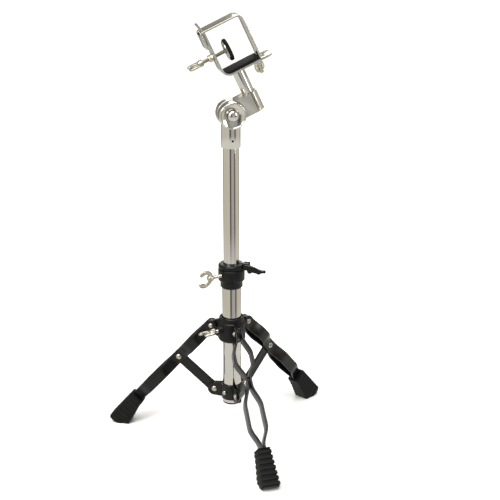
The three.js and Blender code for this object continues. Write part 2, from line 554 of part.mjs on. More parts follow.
addPiece(head, 'tilter_bolt', alongY(turned([
  [0, HUB_FRONT_Y - 4.4], [4, HUB_FRONT_Y - 3.9], [7, HUB_FRONT_Y - 2.2], [9.2, HUB_FRONT_Y + 0.6],
  [9.2, HUB_FRONT_Y + 2.6 - GAP], [TILTER_BOLT_R, HUB_FRONT_Y + 2.6 - GAP],
  [TILTER_BOLT_R, HUB_BACK_Y + 15], [0, HUB_BACK_Y + 15]], 28)), CHROME);
addPiece(head, 'tilter_washer', alongY(ring(TILTER_BOLT_R + GAP, 9, HUB_BACK_Y + GAP, HUB_BACK_Y + 2, 28)), NICKEL);
addPiece(head, 'tilter_wing_nut', alongY(geometryOf(wingNut(TILTER_BOLT_R + GAP, 1.05, 10))
  .rotateZ(rad(35))).translate(0, HUB_BACK_Y + 2 + GAP, 0), NICKEL);

// ---------- head post ----------
addPiece(head, 'head_post', ring(POST_R - 1.5, POST_R, SLEEVE_LOW + 2 + GAP, PLATE_W - GAP, 32)
  .translate(POST_U, POST_Y, 0), CHROME);

// ---------- clamp frame, bent from one strip ----------
const depthLow = POST_Y - CLAMP_DEPTH / 2;
const depthHigh = POST_Y + CLAMP_DEPTH / 2;
const BEND_R = 14.4;                      // outer radius of the frame's lower corner
const bend = { u: SIDE_U + BEND_R, w: PLATE_W + BEND_R };
const sideLean = 1.4;                   // the side plate's tongue leans out at its top
const TONGUE_TOP_W = 143.4;
const TONGUE_HALF = 7;
const frameOutline = [
  [PLATE_END_U, PLATE_W], [PLATE_END_U, PLATE_W + SHEET],
  ...arc(bend.u, bend.w, BEND_R - SHEET, 270, 180, 7), [SIDE_U + SHEET, SIDE_TOP_W - 5],
  [SIDE_U + SHEET - sideLean, SIDE_TOP_W + 2], [SIDE_U + SHEET - 3.6, TONGUE_TOP_W],
  [SIDE_U - 3.6, TONGUE_TOP_W], [SIDE_U - sideLean, SIDE_TOP_W + 2], [SIDE_U, SIDE_TOP_W - 5],
  ...arc(bend.u, bend.w, BEND_R, 180, 270, 7)];
const shoulderCut = (yLow, yHigh) => box(0, SIDE_U + 10, yLow, yHigh, GATE_BAR_W - GAP, TONGUE_TOP_W + 4);
const studHole = rod(SCREW_R + GAP, PLATE_W - 5, PLATE_W + 10, 18).translate(STUD_U, POST_Y, 0);
const pressHole = alongX(rod(SCREW_R + GAP, SIDE_U - 5, SIDE_U + 10, 18)).translate(0, POST_Y, PRESS_W);
const endCorner = plate([[PLATE_END_U - 6, depthHigh + 1], [PLATE_END_U + 1, depthHigh - 6],
  [PLATE_END_U + 1, depthHigh + 1]], PLATE_W - 2, PLATE_W + SHEET + 2);
const endCornerNear = plate([[PLATE_END_U - 6, depthLow - 1], [PLATE_END_U + 1, depthLow - 1],
  [PLATE_END_U + 1, depthLow + 6]], PLATE_W - 2, PLATE_W + SHEET + 2);
addPiece(head, 'clamp_frame', cut(solid(uprightPlate(frameOutline, depthLow, depthHigh)),
  shoulderCut(depthLow - 1, POST_Y - TONGUE_HALF), shoulderCut(POST_Y + TONGUE_HALF, depthHigh + 1),
  studHole, pressHole, endCorner, endCornerNear), NICKEL);

// hooked gate: a flap outside the side plate, the top bar, a wide bend and the side bar
const FLAP_LOW_W = 105;
const FLAP_GAP = 2.4;
const flapOut = SIDE_U - FLAP_GAP - SHEET;
const gateOut = GATE_SIDE_U + SHEET;
const gateTop = GATE_BAR_W + SHEET;
const GATE_BEND_R = 12.4;
const HOOK_R = 4.5;
const GATE_LOW_W = PLATE_W + SHEET + GAP;
const gateOutline = [
  [flapOut, FLAP_LOW_W], [flapOut + SHEET, FLAP_LOW_W],
  ...arc(flapOut + HOOK_R, gateTop - HOOK_R, HOOK_R - SHEET, 180, 90, 3),
  ...arc(gateOut - GATE_BEND_R, gateTop - GATE_BEND_R, GATE_BEND_R - SHEET, 90, 0, 7),
  [GATE_SIDE_U, GATE_LOW_W], [gateOut, GATE_LOW_W],
  ...arc(gateOut - GATE_BEND_R, gateTop - GATE_BEND_R, GATE_BEND_R, 0, 90, 7),
  ...arc(flapOut + HOOK_R, gateTop - HOOK_R, HOOK_R, 90, 180, 4)];
const hookSlot = box(SIDE_U - 5, SIDE_U + SHEET + 0.5, POST_Y - TONGUE_HALF - 0.5, POST_Y + TONGUE_HALF + 0.5,
  GATE_BAR_W - 4, gateTop + 4);
addPiece(head, 'clamp_gate', cut(solid(uprightPlate(gateOutline, depthLow + 1, depthHigh - 1)), hookSlot), NICKEL);

// the stud is forged with a block that is welded inside the gate's side bar
const studBlock = box(STUD_U - 4, GATE_SIDE_U - GAP, POST_Y - 6, POST_Y + 6, GATE_LOW_W, GATE_LOW_W + 2.3);
const STUD_LOW_W = 34;
addPiece(head, 'gate_stud', join(studBlock,
  rod(SCREW_R, STUD_LOW_W, GATE_LOW_W + 2, 18).translate(STUD_U, POST_Y, 0)), NICKEL);
const gateNut = geometryOf(wingNut(SCREW_R + GAP, 0.72, 8)).rotateX(Math.PI).rotateZ(rad(50))
  .translate(STUD_U, POST_Y, PLATE_W - GAP);
addPiece(head, 'gate_wing_nut', gateNut, NICKEL);

// the pad follows the bend at one end and lies over the stud's block at the other
const padW = PLATE_W + SHEET + GAP;
const padTopW = padW + PAD_THICK;
const blockTopW = GATE_LOW_W + 2.3 + GAP;
const padEndU = GATE_SIDE_U - 2 * GAP;
addPiece(head, 'clamp_pad', uprightPlate([
  [24.2, padW + 0.6], [bend.u, padW], [STUD_U - 4 - GAP, padW], [STUD_U - 4 - GAP, blockTopW],
  [padEndU, blockTopW], [padEndU, padTopW], [19.4, padTopW], [19.4, padW + 3.4], [21.5, padW + 1.9]],
depthLow + 0.5, depthHigh - 0.5), BLACK_RUBBER);

// ---------- pressure screw with its plate and pad ----------
const NUT_LENGTH = 7;
addPiece(head, 'pressure_nut', cut(solid(alongX(turned([[0, SIDE_U - GAP - NUT_LENGTH],
  [5.8, SIDE_U - GAP - NUT_LENGTH], [5.8, SIDE_U - GAP], [0, SIDE_U - GAP]], 6))),
alongX(rod(SCREW_R + GAP, SIDE_U - 12, SIDE_U + 4, 18))).translate([0, POST_Y, PRESS_W]), NICKEL);

const WING_FACE_U = -4;
const pressScrew = geometryOf(wingScrew(-PRESS_PLATE_U + GAP, -WING_FACE_U)).rotateZ(rad(90));
addPiece(head, 'pressure_screw', alongX(pressScrew).rotateZ(Math.PI).translate(0, POST_Y, PRESS_W), NICKEL);

const PLATE_RIM = 2;
addPiece(head, 'pressure_plate', alongX(turned([
  [0, PRESS_PLATE_U], [5, PRESS_PLATE_U], [6, PRESS_PLATE_U + 1.4], [PRESS_R - 3, PRESS_PLATE_U + 1.4],
  [PRESS_R - 2, PRESS_PLATE_U + 2], [PRESS_R - 2, PRESS_PLATE_U + 1.4 + PLATE_RIM],
  [0, PRESS_PLATE_U + 1.4 + PLATE_RIM]], 36)).translate(0, POST_Y, PRESS_W), NICKEL);
const padU = PRESS_PLATE_U + 1.4 + PLATE_RIM + GAP;
addPiece(head, 'pressure_pad', alongX(turned([[0, padU], [PRESS_R, padU], [PRESS_R, padU + 4],
  [PRESS_R - 1, padU + 5], [0, padU + 5]], 36)).translate(0, POST_Y, PRESS_W), BLACK_RUBBER);

export default model;
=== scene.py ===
import json
import math
import bpy
import bmesh
from mathutils import Matrix, Vector
from mathutils.bvhtree import BVHTree


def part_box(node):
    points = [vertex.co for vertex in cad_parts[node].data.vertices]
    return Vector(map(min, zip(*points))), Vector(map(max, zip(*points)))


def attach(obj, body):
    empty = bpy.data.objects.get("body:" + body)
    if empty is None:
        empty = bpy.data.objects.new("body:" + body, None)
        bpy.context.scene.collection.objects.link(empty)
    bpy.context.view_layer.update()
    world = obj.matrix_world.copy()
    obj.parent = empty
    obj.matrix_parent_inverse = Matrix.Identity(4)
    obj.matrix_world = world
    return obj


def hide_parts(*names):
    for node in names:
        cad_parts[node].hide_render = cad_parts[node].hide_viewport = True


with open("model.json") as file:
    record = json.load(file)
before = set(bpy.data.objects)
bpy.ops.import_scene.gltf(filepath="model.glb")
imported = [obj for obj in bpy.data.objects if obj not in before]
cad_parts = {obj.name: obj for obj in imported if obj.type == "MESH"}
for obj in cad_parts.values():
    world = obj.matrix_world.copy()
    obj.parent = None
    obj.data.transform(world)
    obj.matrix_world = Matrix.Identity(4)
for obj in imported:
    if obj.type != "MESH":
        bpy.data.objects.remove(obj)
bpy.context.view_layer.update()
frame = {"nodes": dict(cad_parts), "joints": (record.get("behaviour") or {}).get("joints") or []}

joints = {joint["name"]: joint for joint in frame["joints"]}

# ---------------------------------------------------------------------------- camera and studio
# A long lens looks down on the stand from a little to its left, as in a product shot. The floor is
# a white paper sweep under one wide overhead light and three softboxes. The plating shows the
# room's walls, which are pale flats with dark openings between them.
up = Vector((0, 0, 1))
column_foot = Vector(joints["column_swivel"]["pos_m"])
column_foot.z = 0
camera_azimuth = math.radians(-11.56)
camera_distance = 1.767
camera_height = 0.911
camera_pitch = math.radians(18.70)
camera_turn = math.radians(-0.94)
lens_mm = 86.4

camera_data = bpy.data.cameras.new("camera")
camera_data.lens = lens_mm
camera_data.sensor_width = 36
camera = bpy.data.objects.new("camera", camera_data)
bpy.context.scene.collection.objects.link(camera)
away = Vector((math.sin(camera_azimuth), -math.cos(camera_azimuth), 0))
camera.location = column_foot + away * camera_distance + up * camera_height
camera.rotation_euler = (math.pi / 2 - camera_pitch, 0, camera_azimuth + camera_turn)
bpy.context.scene.camera = camera
bpy.context.scene.view_settings.view_transform = "Standard"


def linear(hex_colour):
    """sRGB hex to the linear colour that shaders take."""
    parts = [int(hex_colour[i:i + 2], 16) / 255 for i in (1, 3, 5)]
    return [c / 12.92 if c <= 0.04045 else ((c + 0.055) / 1.055) ** 2.4 for c in parts] + [1]


def add(tree, kind, inputs=None, **settings):
    """Adds a node; an input given as a socket is linked, and anything else is its value."""
    node = tree.nodes.new(kind)
    for key, value in settings.items():
        setattr(node, key, value)
    for key, value in (inputs or {}).items():
        if isinstance(value, bpy.types.NodeSocket):
            tree.links.new(value, node.inputs[key])
        else:
            node.inputs[key].default_value = value
    return node


def finish_of(name):
    """A new material with its Principled shader: (material, tree, shader)."""
    material = bpy.data.materials.new(name)
    material.use_nodes = True
    tree = material.node_tree
    return material, tree, tree.nodes["Principled BSDF"]


world = bpy.data.worlds.new("studio")
world.use_nodes = True
room_tree = world.node_tree
direction = add(room_tree, "ShaderNodeTexCoord").outputs["Generated"]
turned_to_view = add(room_tree, "ShaderNodeMapping", {
    "Vector": direction, "Rotation": (0, 0, -camera_azimuth)}, vector_type="POINT")
compass = add(room_tree, "ShaderNodeTexGradient", {"Vector": turned_to_view.outputs["Vector"]},
              gradient_type="RADIAL")
walls = add(room_tree, "ShaderNodeValToRGB", {"Fac": compass.outputs["Fac"]})
# the walls' tones round the compass, from the stand's left at 0 by the viewer at a quarter and the
# stand's right at a half; the tubes show the dark openings as upright stripes
wall_tones = (
    (0.000, "#c4c2b6"), (0.195, "#c8c6bb"), (0.214, "#55524c"), (0.243, "#4a4742"),
    (0.262, "#9c9ca3"), (0.330, "#b0b2b8"), (0.370, "#9b968b"), (0.386, "#463d32"),
    (0.404, "#4b4236"), (0.425, "#bdb9ae"), (0.560, "#c9c6bc"), (0.640, "#94928b"),
    (0.690, "#3f3e3b"), (0.730, "#7c7b75"), (0.780, "#8a8983"), (0.830, "#504f4b"),
    (0.870, "#aeaca3"), (0.960, "#c6c4b8"))
ramp = walls.color_ramp
while len(ramp.elements) < len(wall_tones):
    ramp.elements.new(0.5)
for element, (place, tone) in zip(ramp.elements, wall_tones):
    element.position = place
    element.color = linear(tone)
height_up = add(room_tree, "ShaderNodeSeparateXYZ", {"Vector": direction}).outputs["Z"]
# low down there is only pale cloth, so the stripes fade towards the foot of the tubes
above_cloth = add(room_tree, "ShaderNodeMapRange", {
    "Value": height_up, "From Min": -0.40, "From Max": -0.24})
with_cloth = add(room_tree, "ShaderNodeMixRGB", {
    "Fac": above_cloth.outputs["Result"], "Color1": linear("#d6d6d3"),
    "Color2": walls.outputs["Color"]})
ceiling = add(room_tree, "ShaderNodeMapRange", {
    "Value": height_up, "From Min": 0.25, "From Max": 0.8})
dome = add(room_tree, "ShaderNodeMixRGB", {
    "Fac": ceiling.outputs["Result"], "Color1": with_cloth.outputs["Color"],
    "Color2": linear("#94948f")})
room_tree.links.new(dome.outputs["Color"], room_tree.nodes["Background"].inputs["Color"])
room_tree.nodes["Background"].inputs["Strength"].default_value = 1.45
bpy.context.scene.world = world

paper, _, paper_shader = finish_of("white paper sweep")
paper_shader.inputs["Base Color"].default_value = linear("#f7f7f6")
paper_shader.inputs["Roughness"].default_value = 0.9
paper_shader.inputs["Specular IOR Level"].default_value = 0.1
floor_mesh = bpy.data.meshes.new("floor")
reach = 14
floor_mesh.from_pydata(
    [(-reach, -reach, 0), (reach, -reach, 0), (reach, reach, 0), (-reach, reach, 0)],
    [], [(0, 1, 2, 3)])
floor_mesh.materials.append(paper)
floor = bpy.data.objects.new("floor", floor_mesh)
bpy.context.scene.collection.objects.link(floor)
# the plating is lit by the walls alone, as on a small table, and not by metres of white paper
floor.visible_glossy = False

sun_data = bpy.data.lights.new("overhead", "SUN")
sun_data.energy = 2.5
sun_data.angle = math.radians(50)
sun = bpy.data.objects.new("overhead", sun_data)
sun.rotation_euler = (math.radians(18), math.radians(-12), 0)
bpy.context.scene.collection.objects.link(sun)


middle_height = 0.33


def softbox(name, azimuth, distance, height, width, tall, watts):
    """A rectangular light standing round the stand, in metres, turned to face its middle."""
    data = bpy.data.lights.new(name, "AREA")
    data.shape = "RECTANGLE"
    data.size, data.size_y = width, tall
    data.energy = watts
    light = bpy.data.objects.new(name, data)
    side = Vector((math.sin(azimuth), -math.cos(azimuth), 0))
    light.location = column_foot + side * distance + up * height
    aim = column_foot + up * middle_height - light.location
    light.rotation_mode = "QUATERNION"
    light.rotation_quaternion = aim.to_track_quat("-Z", "Y")
    bpy.context.scene.collection.objects.link(light)


softbox("key", math.radians(-55), 1.9, 1.5, 1.1, 0.8, 26)
softbox("fill", math.radians(50), 2.1, 1.2, 0.5, 1.2, 12)
softbox("rim", math.radians(165), 2.0, 1.6, 1.0, 0.5, 16)

# ---------------------------------------------------------------------------- base tube and plug
# The lower tube is a 30 mm steel tube, polished and chromed. A rubber plug closes its lower end.
# Chrome on drawn tube is a clean mirror with a faint long ripple, so its reflections waver.
MM = 0.001
to_metres = Matrix.Scale(MM, 4)
at_column = Matrix.Translation(column_foot) @ to_metres


def plated(name, colour, roughness, ripple_mm, ripple, grain=0.0):
    """Bright plate on metal: one tint, smears from handling about 14 mm across that dull it a
    little, and a shallow ripple left by the metal under it. Grain adds the pits of a casting."""
    material, tree, shader = finish_of(name)
    place = add(tree, "ShaderNodeTexCoord").outputs["Object"]
    handling = add(tree, "ShaderNodeTexNoise", {
        "Vector": place, "Scale": 1 / (14 * MM), "Detail": 3})
    wander = add(tree, "ShaderNodeMapRange", {
        "Value": handling.outputs["Fac"], "From Min": 0.3, "From Max": 0.75,
        "To Min": roughness, "To Max": roughness * 1.7})
    waves = add(tree, "ShaderNodeTexNoise", {
        "Vector": place, "Scale": 1 / (ripple_mm * MM), "Detail": 1})
    normal = add(tree, "ShaderNodeBump", {
        "Height": waves.outputs["Fac"], "Strength": ripple, "Distance": 0.3 * MM}).outputs["Normal"]
    if grain:
        pits = add(tree, "ShaderNodeTexNoise", {
            "Vector": place, "Scale": 1 / (0.9 * MM), "Detail": 2})
        normal = add(tree, "ShaderNodeBump", {
            "Height": pits.outputs["Fac"], "Strength": grain, "Distance": 0.12 * MM,
            "Normal": normal}).outputs["Normal"]
    shader.inputs["Base Color"].default_value = linear(colour)
    shader.inputs["Metallic"].default_value = 1
    tree.links.new(wander.outputs["Result"], shader.inputs["Roughness"])
    tree.links.new(normal, shader.inputs["Normal"])
    return material


def moulded(name, colour, dusty, roughness, grain_mm, grain, specular=0.5):
    """Moulded plastic or rubber: one colour, paler with dust in patches about 9 mm across, and
    the fine grain of its mould."""
    material, tree, shader = finish_of(name)
    place = add(tree, "ShaderNodeTexCoord").outputs["Object"]
    patches = add(tree, "ShaderNodeTexNoise", {
        "Vector": place, "Scale": 1 / (9 * MM), "Detail": 5, "Roughness": 0.6})
    amount = add(tree, "ShaderNodeMapRange", {
        "Value": patches.outputs["Fac"], "From Min": 0.42, "From Max": 0.78})
    tone = add(tree, "ShaderNodeMixRGB", {
        "Fac": amount.outputs["Result"], "Color1": linear(colour), "Color2": linear(dusty)})
    sheen = add(tree, "ShaderNodeMapRange", {
        "Value": patches.outputs["Fac"], "From Min": 0.3, "From Max": 0.8,
        "To Min": roughness, "To Max": min(1, roughness * 1.25)})
    pits = add(tree, "ShaderNodeTexNoise", {
        "Vector": place, "Scale": 1 / (grain_mm * MM), "Detail": 2})
    bump = add(tree, "ShaderNodeBump", {
        "Height": pits.outputs["Fac"], "Strength": grain, "Distance": 0.15 * MM})
    shader.inputs["Specular IOR Level"].default_value = specular
    tree.links.new(tone.outputs["Color"], shader.inputs["Base Color"])
    tree.links.new(sheen.outputs["Result"], shader.inputs["Roughness"])
    tree.links.new(bump.outputs["Normal"], shader.inputs["Normal"])
    return material


def turned(outline, segments=96):
    """A turned piece about +Z from an [r, z] outline that ends on the axis or closes on itself."""
    verts, faces, rows = [], [], []
    for r, z in outline:
        if r == 0:
            verts.append((0, 0, z))
            rows.append([len(verts) - 1] * segments)
            continue
        rows.append(range(len(verts), len(verts) + segments))
        for k in range(segments):
            angle = math.radians(360 * k / segments)
            verts.append((r * math.cos(angle), r * math.sin(angle), z))
    closed = outline[0][0] > 0 or outline[-1][0] > 0
    next_rows = rows[1:] + rows[:1] if closed else rows[1:]
    for low, high in zip(rows, next_rows):
        for k in range(segments):
            m = (k + 1) % segments
            corner = [low[k], low[m], high[m], high[k]]
            face = [v for i, v in enumerate(corner) if v != corner[i - 1]]
            if len(face) > 2:
                faces.append(face)
    return verts, faces


def together(*parts):
    """Several (verts, faces) pairs as one."""
    verts, faces = [], []
    for part_verts, part_faces in parts:
        start = len(verts)
        verts += part_verts
        faces += [[start + i for i in face] for face in part_faces]
    return verts, faces


def moved(part, matrix):
    """A (verts, faces) pair carried to another place."""
    verts, faces = part
    return [tuple(matrix @ Vector(v)) for v in verts], faces


def shown(name, mesh, body, material, replaced, smooth=35):
    """Puts a finished mesh in the scene, riding on its body in place of its CAD nodes. Edges
    sharper than the smoothing angle stay crisp."""
    mesh.materials.clear()
    mesh.materials.append(material)
    mesh.shade_smooth()
    mesh.set_sharp_from_angle(angle=math.radians(smooth))
    piece = bpy.data.objects.new(name, mesh)
    bpy.context.scene.collection.objects.link(piece)
    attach(piece, body)
    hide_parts(*replaced)


def made(name, part, at, body, material, replaced, smooth=35):
    """A piece from (verts, faces) in millimetres in the frame that the matrix gives."""
    mesh = bpy.data.meshes.new(name)
    mesh.from_pydata([tuple(at @ Vector(v)) for v in part[0]], [], part[1])
    shape = bmesh.new()
    shape.from_mesh(mesh)
    bmesh.ops.remove_doubles(shape, verts=shape.verts, dist=1e-6)
    bmesh.ops.recalc_face_normals(shape, faces=shape.faces)
    shape.to_mesh(mesh)
    shape.free()
    shown(name, mesh, body, material, replaced, smooth)


def rounded_tube(inner, outer, low, high, edge=0.3):
    """A tube's outline with small rounded outer edges."""
    rounding = edge * 0.3
    return [(inner, low), (outer - edge, low), (outer - rounding, low + rounding),
            (outer, low + edge), (outer, high - edge), (outer - rounding, high - rounding),
            (outer - edge, high), (inner, high)]


def top_and_bottom(node):
    """Lowest and highest level of a CAD node, in millimetres."""
    low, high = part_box(node)
    return low.z / MM, high.z / MM


base_tube_r = 15
base_tube_wall = 1.2
tube_chrome = plated("chromed steel tube", "#c9c5bd", 0.07, 30, 0.10)
low, high = top_and_bottom("base_tube")
made("base_tube_polished",
     turned(rounded_tube(base_tube_r - base_tube_wall, base_tube_r, low, high)), at_column,
     "root", tube_chrome, ["base_tube"])

# matt black rubber that dust greys, with the tooth of its mould
rubber = moulded("moulded black rubber", "#050505", "#101111", 0.60, 0.6, 0.25, specular=0.22)
low, high = top_and_bottom("tube_end_plug")
plug_r = base_tube_r - 1.5
plug_rim = 2.7
plug_outline = [(0, low), (base_tube_r - 2, low), (base_tube_r - 0.6, low + 0.5),
                (base_tube_r, low + 1.4), (base_tube_r, low + plug_rim),
                (plug_r, low + plug_rim), (plug_r, high), (0, high)]
made("tube_plug", turned(plug_outline), at_column, "root", rubber,
     ["tube_end_plug"])

# ---------------------------------------------------------------------------- lower bracket
# Three pressed steel plates clasp the tube's lower end, and each pair of turned-out ears holds a
# brace on a rivet. They are enamelled gloss black, and a plated screw holds each plate's middle.


def enamelled(name, colour, roughness, peel_mm, peel):
    """Gloss enamel on steel: the fine orange peel of sprayed paint under a clear shine, rubbed
    duller and greyer in patches about 22 mm across."""
    material, tree, shader = finish_of(name)
    place = add(tree, "ShaderNodeTexCoord").outputs["Object"]
    skin = add(tree, "ShaderNodeTexNoise", {
        "Vector": place, "Scale": 1 / (peel_mm * MM), "Detail": 1})
    bump = add(tree, "ShaderNodeBump", {
        "Height": skin.outputs["Fac"], "Strength": peel, "Distance": 0.1 * MM})
    rubbed = add(tree, "ShaderNodeTexNoise", {
        "Vector": place, "Scale": 1 / (22 * MM), "Detail": 6, "Roughness": 0.65})
    dull = add(tree, "ShaderNodeMapRange", {
        "Value": rubbed.outputs["Fac"], "From Min": 0.35, "From Max": 0.75,
        "To Min": roughness, "To Max": roughness + 0.16})
    tone = add(tree, "ShaderNodeMixRGB", {
        "Fac": rubbed.outputs["Fac"], "Color1": linear(colour), "Color2": linear("#0b0b0c")})
    shader.inputs["Specular IOR Level"].default_value = 0.32
    tree.links.new(tone.outputs["Color"], shader.inputs["Base Color"])
    tree.links.new(dull.outputs["Result"], shader.inputs["Roughness"])
    tree.links.new(bump.outputs["Normal"], shader.inputs["Normal"])
    return material


flat_within = math.radians(0.8)
sharp_beyond = math.radians(32)


def eased(node, name, body, material, edge, steps=3):
    """A CAD node's copy with its doubles merged, its flat faces joined and its sharp edges
    rounded to a radius in millimetres."""
    shape = bmesh.new()
    shape.from_mesh(frame["nodes"][node].data)
    bmesh.ops.remove_doubles(shape, verts=shape.verts, dist=2e-6)
    bmesh.ops.dissolve_limit(shape, angle_limit=flat_within, verts=shape.verts,
                             edges=shape.edges)
    sharp = [edge_line for edge_line in shape.edges
             if len(edge_line.link_faces) == 2 and edge_line.calc_face_angle(0) > sharp_beyond]
    skin = BVHTree.FromBMesh(shape)
    bmesh.ops.bevel(shape, geom=sharp, offset=edge * MM, offset_type="OFFSET", segments=steps,
                    profile=0.5, affect="EDGES", clamp_overlap=True)
    # a corner that rounding threw off the shape goes back onto it
    for vert in shape.verts:
        nearest, _, _, distance = skin.find_nearest(vert.co)
        if distance > edge * 0.6 * MM:
            vert.co = nearest
    mesh = bpy.data.meshes.new(name)
    shape.to_mesh(mesh)
    shape.free()
    shown(name, mesh, body, material, [node])


# deep black, with long soft highlights that break up only where it is rubbed
black_enamel = enamelled("gloss black enamel", "#030304", 0.20, 1.4, 0.05)
for i in (1, 2, 3):
    eased(f"bracket_plate_{i}", f"bracket_plate_{i}_pressed", "root",
          black_enamel, 0.45)

# nickel is warmer and softer in shine than chrome
nickel_hardware = plated("nickel plated hardware", "#b9b4a6", 0.18, 7, 0.25, grain=0.25)
for i in (1, 2, 3):
    eased(f"bracket_screw_{i}", f"bracket_screw_{i}_head", "root",
          nickel_hardware, 0.25)

# ---------------------------------------------------------------------------- rivets
# Semi-tubular steel rivets, nickel plated, hold the legs and braces. Each has a low domed head on
# one side and a rolled ring with a hole on the other, and one node tree makes them all.
leg_names = ("front", "right", "left")
rivet_nickel = plated("nickel plated rivet", "#bdb7a9", 0.22, 5, 0.25, grain=0.2)
rivet_tree = bpy.data.node_groups.new("semi-tubular rivet", "GeometryNodeTree")
rivet_tree.interface.new_socket("Geometry", in_out="INPUT", socket_type="NodeSocketGeometry")
rivet_tree.interface.new_socket("Geometry", in_out="OUTPUT", socket_type="NodeSocketGeometry")
rivet_inputs = {}
for label, kind in (("Grip", "Float"), ("Shank radius", "Float"), ("Head radius", "Float"),
                    ("Head height", "Float"), ("Axis", "Vector"), ("Finish", "Material")):
    rivet_inputs[label] = rivet_tree.interface.new_socket(
        label, in_out="INPUT", socket_type="NodeSocket" + kind).identifier
given = rivet_tree.nodes.new("NodeGroupInput").outputs

# the shank between the two ends, and the head: a flattened ball
half_grip = add(rivet_tree, "ShaderNodeMath", {
    0: given["Grip"], 1: 0.5}, operation="MULTIPLY").outputs[0]
shank = add(rivet_tree, "GeometryNodeMeshCylinder", {
    "Vertices": 24, "Radius": given["Shank radius"], "Depth": given["Grip"]}).outputs["Mesh"]
ball = add(rivet_tree, "GeometryNodeMeshUVSphere", {
    "Segments": 32, "Rings": 16, "Radius": 1.0}).outputs["Mesh"]
head_size = add(rivet_tree, "ShaderNodeCombineXYZ", {
    "X": given["Head radius"], "Y": given["Head radius"],
    "Z": given["Head height"]}).outputs["Vector"]
head_place = add(rivet_tree, "ShaderNodeCombineXYZ", {"Z": half_grip}).outputs["Vector"]
head = add(rivet_tree, "GeometryNodeTransform", {
    "Geometry": ball, "Translation": head_place, "Scale": head_size}).outputs["Geometry"]

# the tail: the shank's hollow end rolled outwards into a ring
bead_r = add(rivet_tree, "ShaderNodeMath", {
    0: given["Head height"], 1: 0.5}, operation="MULTIPLY").outputs[0]
ring_r = add(rivet_tree, "ShaderNodeMath", {
    0: given["Head radius"], 1: bead_r}, operation="SUBTRACT").outputs[0]
ring_path = add(rivet_tree, "GeometryNodeCurvePrimitiveCircle", {
    "Resolution": 32, "Radius": ring_r}).outputs["Curve"]
bead = add(rivet_tree, "GeometryNodeCurvePrimitiveCircle", {
    "Resolution": 12, "Radius": bead_r}).outputs["Curve"]
rolled = add(rivet_tree, "GeometryNodeCurveToMesh", {
    "Curve": ring_path, "Profile Curve": bead}).outputs["Mesh"]
below = add(rivet_tree, "ShaderNodeMath", {
    0: half_grip, 1: -1.0}, operation="MULTIPLY").outputs[0]
tail_place = add(rivet_tree, "ShaderNodeCombineXYZ", {"Z": below}).outputs["Vector"]
tail = add(rivet_tree, "GeometryNodeTransform", {
    "Geometry": rolled, "Translation": tail_place}).outputs["Geometry"]

# one rivet stands on each point of the incoming mesh, turned along its axis
whole = rivet_tree.nodes.new("GeometryNodeJoinGeometry")
for part in (shank, head, tail):
    rivet_tree.links.new(part, whole.inputs["Geometry"])
facing = add(rivet_tree, "FunctionNodeAlignRotationToVector", {"Vector": given["Axis"]}, axis="Z")
placed = add(rivet_tree, "GeometryNodeInstanceOnPoints", {
    "Points": given["Geometry"], "Instance": whole.outputs["Geometry"],
    "Rotation": facing.outputs["Rotation"]})
real = add(rivet_tree, "GeometryNodeRealizeInstances", {"Geometry": placed.outputs["Instances"]})
finished = add(rivet_tree, "GeometryNodeSetMaterial", {
    "Geometry": real.outputs["Geometry"], "Material": given["Finish"]})
rivet_tree.links.new(finished.outputs["Geometry"],
                     rivet_tree.nodes.new("NodeGroupOutput").inputs["Geometry"])
rivet_shank_r = 2.5
rivet_head_tall = 2.2


def rivet(name, centre, axis, grip, head_r, body, node):
    """One rivet through a point in metres, with its head on the side that the axis points to."""
    seed = bpy.data.meshes.new(name)
    seed.from_pydata([tuple(centre)], [], [])
    maker = bpy.data.objects.new(name + "_maker", seed)
    bpy.context.scene.collection.objects.link(maker)
    modifier = maker.modifiers.new("rivet", "NODES")
    modifier.node_group = rivet_tree
    for label, value in (("Grip", grip * MM), ("Shank radius", rivet_shank_r * MM),
                         ("Head radius", head_r * MM), ("Head height", rivet_head_tall * MM),
                         ("Axis", tuple(axis)), ("Finish", rivet_nickel)):
        modifier[rivet_inputs[label]] = value
    graph = bpy.context.evaluated_depsgraph_get()
    mesh = bpy.data.meshes.new_from_object(maker.evaluated_get(graph))
    bpy.data.objects.remove(maker)
    shown(name, mesh, body, rivet_nickel, [node], 40)


# where the rivets stand: down the leg, and out from the column and up at the lower bracket
brace_rivet_at = 80.4
bracket_pivot_r = 28.8
bracket_pivot_z = 75.3

# ---------------------------------------------------------------------------- legs
# Each leg is two enamelled steel strips, bowed apart twice and pinched together at the brace's
# rivet and in the foot. The strip is rolled with round edges, so it shines in a line along each.
strip_wide = 19
strip_thick = 3
edge_r = 1.35
leg_slope = math.radians(47.6)
leg_top = -9.5
leg_end = 221
# the strip's inner face: (place down the leg from its pivot, gap to the leg's middle)
bow = ((leg_top, 3.3), (8, 3.3), (37, 12.5), (47, 12.5), (75, 1.8), (87, 1.8), (121, 11.3),
       (152, 11.5), (184, 1.25), (leg_end, 1.25))


def eased_between(points, at):
    """Reads a value from (place, value) pairs, level at each pair and smooth between them."""
    for (a, low_value), (b, high_value) in zip(points, points[1:]):
        if at <= b:
            t = min(1, max(0, (at - a) / (b - a)))
            return low_value + (high_value - low_value) * t * t * (3 - 2 * t)
    return points[-1][1]


def lofted(rings):
    """Closes a run of equal rings of points into one skin with flat ends."""
    count = len(rings[0])
    verts = [spot for ring in rings for spot in ring]
    faces = [list(range(count))[::-1], [(len(rings) - 1) * count + k for k in range(count)]]
    for j in range(len(rings) - 1):
        for k in range(count):
            m = (k + 1) % count
            faces.append([j * count + k, j * count + m, (j + 1) * count + m, (j + 1) * count + k])
    return verts, faces


